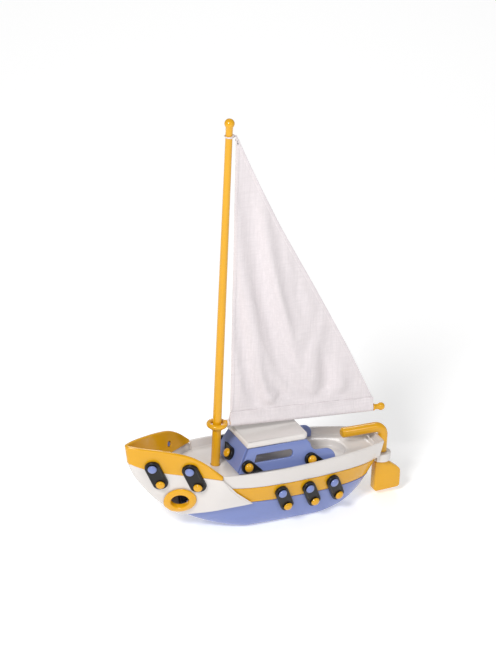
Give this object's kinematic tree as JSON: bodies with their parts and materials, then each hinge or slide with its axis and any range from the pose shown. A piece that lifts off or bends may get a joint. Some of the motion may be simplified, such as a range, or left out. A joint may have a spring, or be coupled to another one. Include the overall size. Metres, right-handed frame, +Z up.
{
  "type": "toy sailboat",
  "caption": "Snap-together plastic toy sailboat with a raised bow bulwark, open cabin, cloth sail on a swinging boom and a rudder turned by a tiller.",
  "frame": {"origin": "middle of the flat keel face the boat stands on", "axes": "+Z up along the mast, +X towards the stern and rudder, +Y to starboard"},
  "size_m": [0.2194, 0.066, 0.3138],
  "materials": {
    "yellow_plastic": "satin",
    "blue_plastic": "satin",
    "white_plastic": "satin",
    "black_plastic": "satin",
    "sail_cloth": "plain weave",
    "sail_thread": "twisted thread"
  },
  "bodies": {
    "boat": {"hull_bottom": "blue_plastic", "side_band_port": "yellow_plastic", "side_band_starboard": "yellow_plastic", "deck_tub": "white_plastic", "bow_shell": "white_plastic", "bow_bulwark": "yellow_plastic", "hawse_ring_port": "yellow_plastic", "hawse_ring_starboard": "yellow_plastic", "cabin_front": "blue_plastic", "cabin_side_port": "blue_plastic", "cabin_side_starboard": "blue_plastic", "cabin_roof": "white_plastic", "bow_clip_port_1": "black_plastic", "bow_clip_port_2": "black_plastic", "side_clip_port_1": "black_plastic", "side_clip_port_2": "black_plastic", "side_clip_port_3": "black_plastic", "cabin_clip_port_1": "black_plastic", "cabin_clip_port_2": "black_plastic", "bow_clip_starboard_1": "black_plastic", "bow_clip_starboard_2": "black_plastic", "side_clip_starboard_1": "black_plastic", "side_clip_starboard_2": "black_plastic", "side_clip_starboard_3": "black_plastic", "cabin_clip_starboard_1": "black_plastic", "cabin_clip_starboard_2": "black_plastic", "cabin_clip_front": "black_plastic", "bow_upper_pin_port_1": "blue_plastic", "bow_lower_pin_port_1": "yellow_plastic", "bow_upper_pin_port_2": "blue_plastic", "bow_lower_pin_port_2": "yellow_plastic", "side_upper_pin_port_1": "blue_plastic", "side_lower_pin_port_1": "yellow_plastic", "side_upper_pin_port_2": "blue_plastic", "side_lower_pin_port_2": "yellow_plastic", "side_upper_pin_port_3": "blue_plastic", "side_lower_pin_port_3": "yellow_plastic", "cabin_pin_port_1": "yellow_plastic", "cabin_pin_port_2": "yellow_plastic", "bow_upper_pin_starboard_1": "blue_plastic", "bow_lower_pin_starboard_1": "yellow_plastic", "bow_upper_pin_starboard_2": "blue_plastic", "bow_lower_pin_starboard_2": "yellow_plastic", "side_upper_pin_starboard_1": "blue_plastic", "side_lower_pin_starboard_1": "yellow_plastic", "side_upper_pin_starboard_2": "blue_plastic", "side_lower_pin_starboard_2": "yellow_plastic", "side_upper_pin_starboard_3": "blue_plastic", "side_lower_pin_starboard_3": "yellow_plastic", "cabin_pin_starboard_1": "yellow_plastic", "cabin_pin_starboard_2": "yellow_plastic", "cabin_pin_front": "yellow_plastic", "mast": "yellow_plastic"},
    "boom": {"boom": "yellow_plastic", "sail": "sail_cloth", "sail_head_loop": "sail_thread"},
    "rudder": {"tiller": "yellow_plastic", "rudder_blade": "yellow_plastic"}
  },
  "joints": [
    {"name": "boom_swing", "type": "hinge", "parent": "boat", "child": "boom", "pos_m": [-0.052, 0, 0.0799], "axis": [0, 0, 1], "range_deg": [-70, 70]},
    {"name": "rudder_turn", "type": "hinge", "parent": "boat", "child": "rudder", "pos_m": [0.0814, 0, 0.035], "axis": [0, 0, 1], "range_deg": [-35, 35]}
  ]
}
